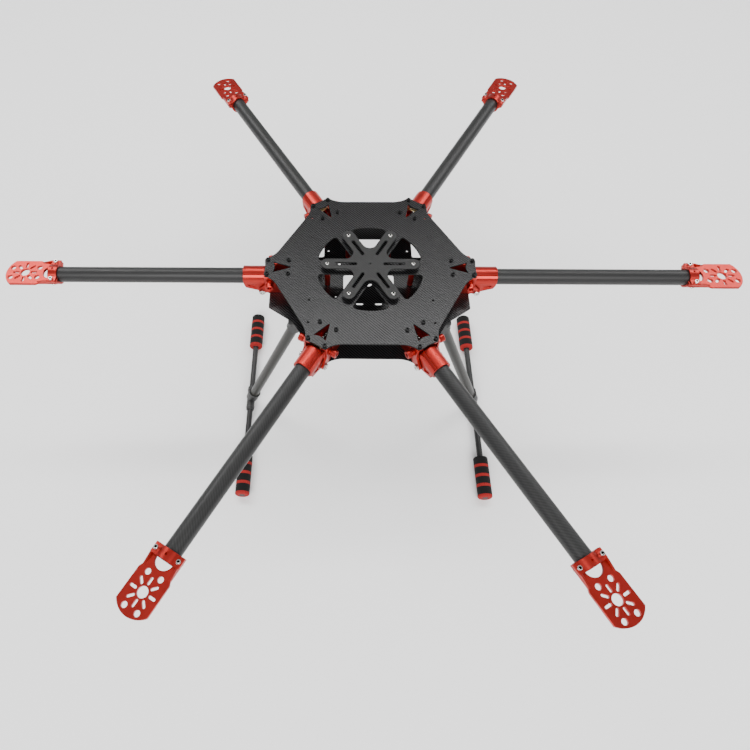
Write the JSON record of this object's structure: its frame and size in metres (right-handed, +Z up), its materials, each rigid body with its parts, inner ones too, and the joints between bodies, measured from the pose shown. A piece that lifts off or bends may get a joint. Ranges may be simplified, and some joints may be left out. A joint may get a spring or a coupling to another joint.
{
  "type": "hexacopter drone frame",
  "caption": "Folding multirotor frame: carbon deck plates, tube arms on latched hinge seats, motor mount plates and leaning legs on foam-sleeved skid tubes.",
  "frame": {"origin": "on the ground, under the centre of the frame's bounding box", "axes": "+X along the right arm, +Y to the rear, +Z up"},
  "size_m": [1.049, 0.9156, 0.3199],
  "materials": {
    "carbon_plate": "woven carbon sheet under a satin clear coat",
    "carbon_tube": "woven carbon tube, semi-matt",
    "red_anodised": "machined and anodised red, satin",
    "brass": "turned, polished",
    "steel": "turned, satin",
    "black_plastic": "moulded, satin",
    "foam": "closed-cell foam, dull"
  },
  "bodies": {
    "frame": {"upper_deck": "carbon_plate", "lower_deck": "carbon_plate", "star_plate": "carbon_plate", "seat_right": "red_anodised", "hinge_pin_right": "steel", "seat_rear_right": "red_anodised", "hinge_pin_rear_right": "steel", "seat_rear_left": "red_anodised", "hinge_pin_rear_left": "steel", "seat_left": "red_anodised", "hinge_pin_left": "steel", "seat_front_left": "red_anodised", "hinge_pin_front_left": "steel", "seat_front_right": "red_anodised", "hinge_pin_front_right": "steel", "leg_bracket_right": "black_plastic", "leg_tube_right": "carbon_tube", "gear_tee_right": "black_plastic", "skid_tube_right": "carbon_tube", "foam_front_right": "foam", "foam_rear_right": "foam", "leg_bracket_left": "black_plastic", "leg_tube_left": "carbon_tube", "gear_tee_left": "black_plastic", "skid_tube_left": "carbon_tube", "foam_front_left": "foam", "foam_rear_left": "foam"},
    "arm_right": {"tube_clamp_right": "red_anodised", "arm_tube_right": "carbon_tube", "motor_mount_right": "red_anodised", "mount_cap_right": "red_anodised"},
    "lock_right": {"lock_bar_right": "brass"},
    "arm_rear_right": {"tube_clamp_rear_right": "red_anodised", "arm_tube_rear_right": "carbon_tube", "motor_mount_rear_right": "red_anodised", "mount_cap_rear_right": "red_anodised"},
    "lock_rear_right": {"lock_bar_rear_right": "brass"},
    "arm_rear_left": {"tube_clamp_rear_left": "red_anodised", "arm_tube_rear_left": "carbon_tube", "motor_mount_rear_left": "red_anodised", "mount_cap_rear_left": "red_anodised"},
    "lock_rear_left": {"lock_bar_rear_left": "brass"},
    "arm_left": {"tube_clamp_left": "red_anodised", "arm_tube_left": "carbon_tube", "motor_mount_left": "red_anodised", "mount_cap_left": "red_anodised"},
    "lock_left": {"lock_bar_left": "brass"},
    "arm_front_left": {"tube_clamp_front_left": "red_anodised", "arm_tube_front_left": "carbon_tube", "motor_mount_front_left": "red_anodised", "mount_cap_front_left": "red_anodised"},
    "lock_front_left": {"lock_bar_front_left": "brass"},
    "arm_front_right": {"tube_clamp_front_right": "red_anodised", "arm_tube_front_right": "carbon_tube", "motor_mount_front_right": "red_anodised", "mount_cap_front_right": "red_anodised"},
    "lock_front_right": {"lock_bar_front_right": "brass"}
  },
  "joints": [
    {"name": "fold_right", "type": "hinge", "parent": "frame", "child": "arm_right", "pos_m": [0.154, 0, 0.27897], "axis": [0, 1, 0], "range_deg": [0, 90]},
    {"name": "lock_right", "type": "slide", "parent": "frame", "child": "lock_right", "axis": [-1, 0, 0], "range_m": [0, 0.005], "stiffness_N_per_m": 300, "springref_m": -0.004},
    {"name": "fold_rear_right", "type": "hinge", "parent": "frame", "child": "arm_rear_right", "pos_m": [0.077, 0.13337, 0.27897], "axis": [-0.866, 0.5, 0], "range_deg": [0, 90]},
    {"name": "lock_rear_right", "type": "slide", "parent": "frame", "child": "lock_rear_right", "axis": [-0.5, -0.866, 0], "range_m": [0, 0.005], "stiffness_N_per_m": 300, "springref_m": -0.004},
    {"name": "fold_rear_left", "type": "hinge", "parent": "frame", "child": "arm_rear_left", "pos_m": [-0.077, 0.13337, 0.27897], "axis": [-0.866, -0.5, 0], "range_deg": [0, 90]},
    {"name": "lock_rear_left", "type": "slide", "parent": "frame", "child": "lock_rear_left", "axis": [0.5, -0.866, 0], "range_m": [0, 0.005], "stiffness_N_per_m": 300, "springref_m": -0.004},
    {"name": "fold_left", "type": "hinge", "parent": "frame", "child": "arm_left", "pos_m": [-0.154, 0, 0.27897], "axis": [0, -1, 0], "range_deg": [0, 90]},
    {"name": "lock_left", "type": "slide", "parent": "frame", "child": "lock_left", "axis": [1, 0, 0], "range_m": [0, 0.005], "stiffness_N_per_m": 300, "springref_m": -0.004},
    {"name": "fold_front_left", "type": "hinge", "parent": "frame", "child": "arm_front_left", "pos_m": [-0.077, -0.13337, 0.27897], "axis": [0.866, -0.5, 0], "range_deg": [0, 90]},
    {"name": "lock_front_left", "type": "slide", "parent": "frame", "child": "lock_front_left", "axis": [0.5, 0.866, 0], "range_m": [0, 0.005], "stiffness_N_per_m": 300, "springref_m": -0.004},
    {"name": "fold_front_right", "type": "hinge", "parent": "frame", "child": "arm_front_right", "pos_m": [0.077, -0.13337, 0.27897], "axis": [0.866, 0.5, 0], "range_deg": [0, 90]},
    {"name": "lock_front_right", "type": "slide", "parent": "frame", "child": "lock_front_right", "axis": [-0.5, 0.866, 0], "range_m": [0, 0.005], "stiffness_N_per_m": 300, "springref_m": -0.004}
  ]
}
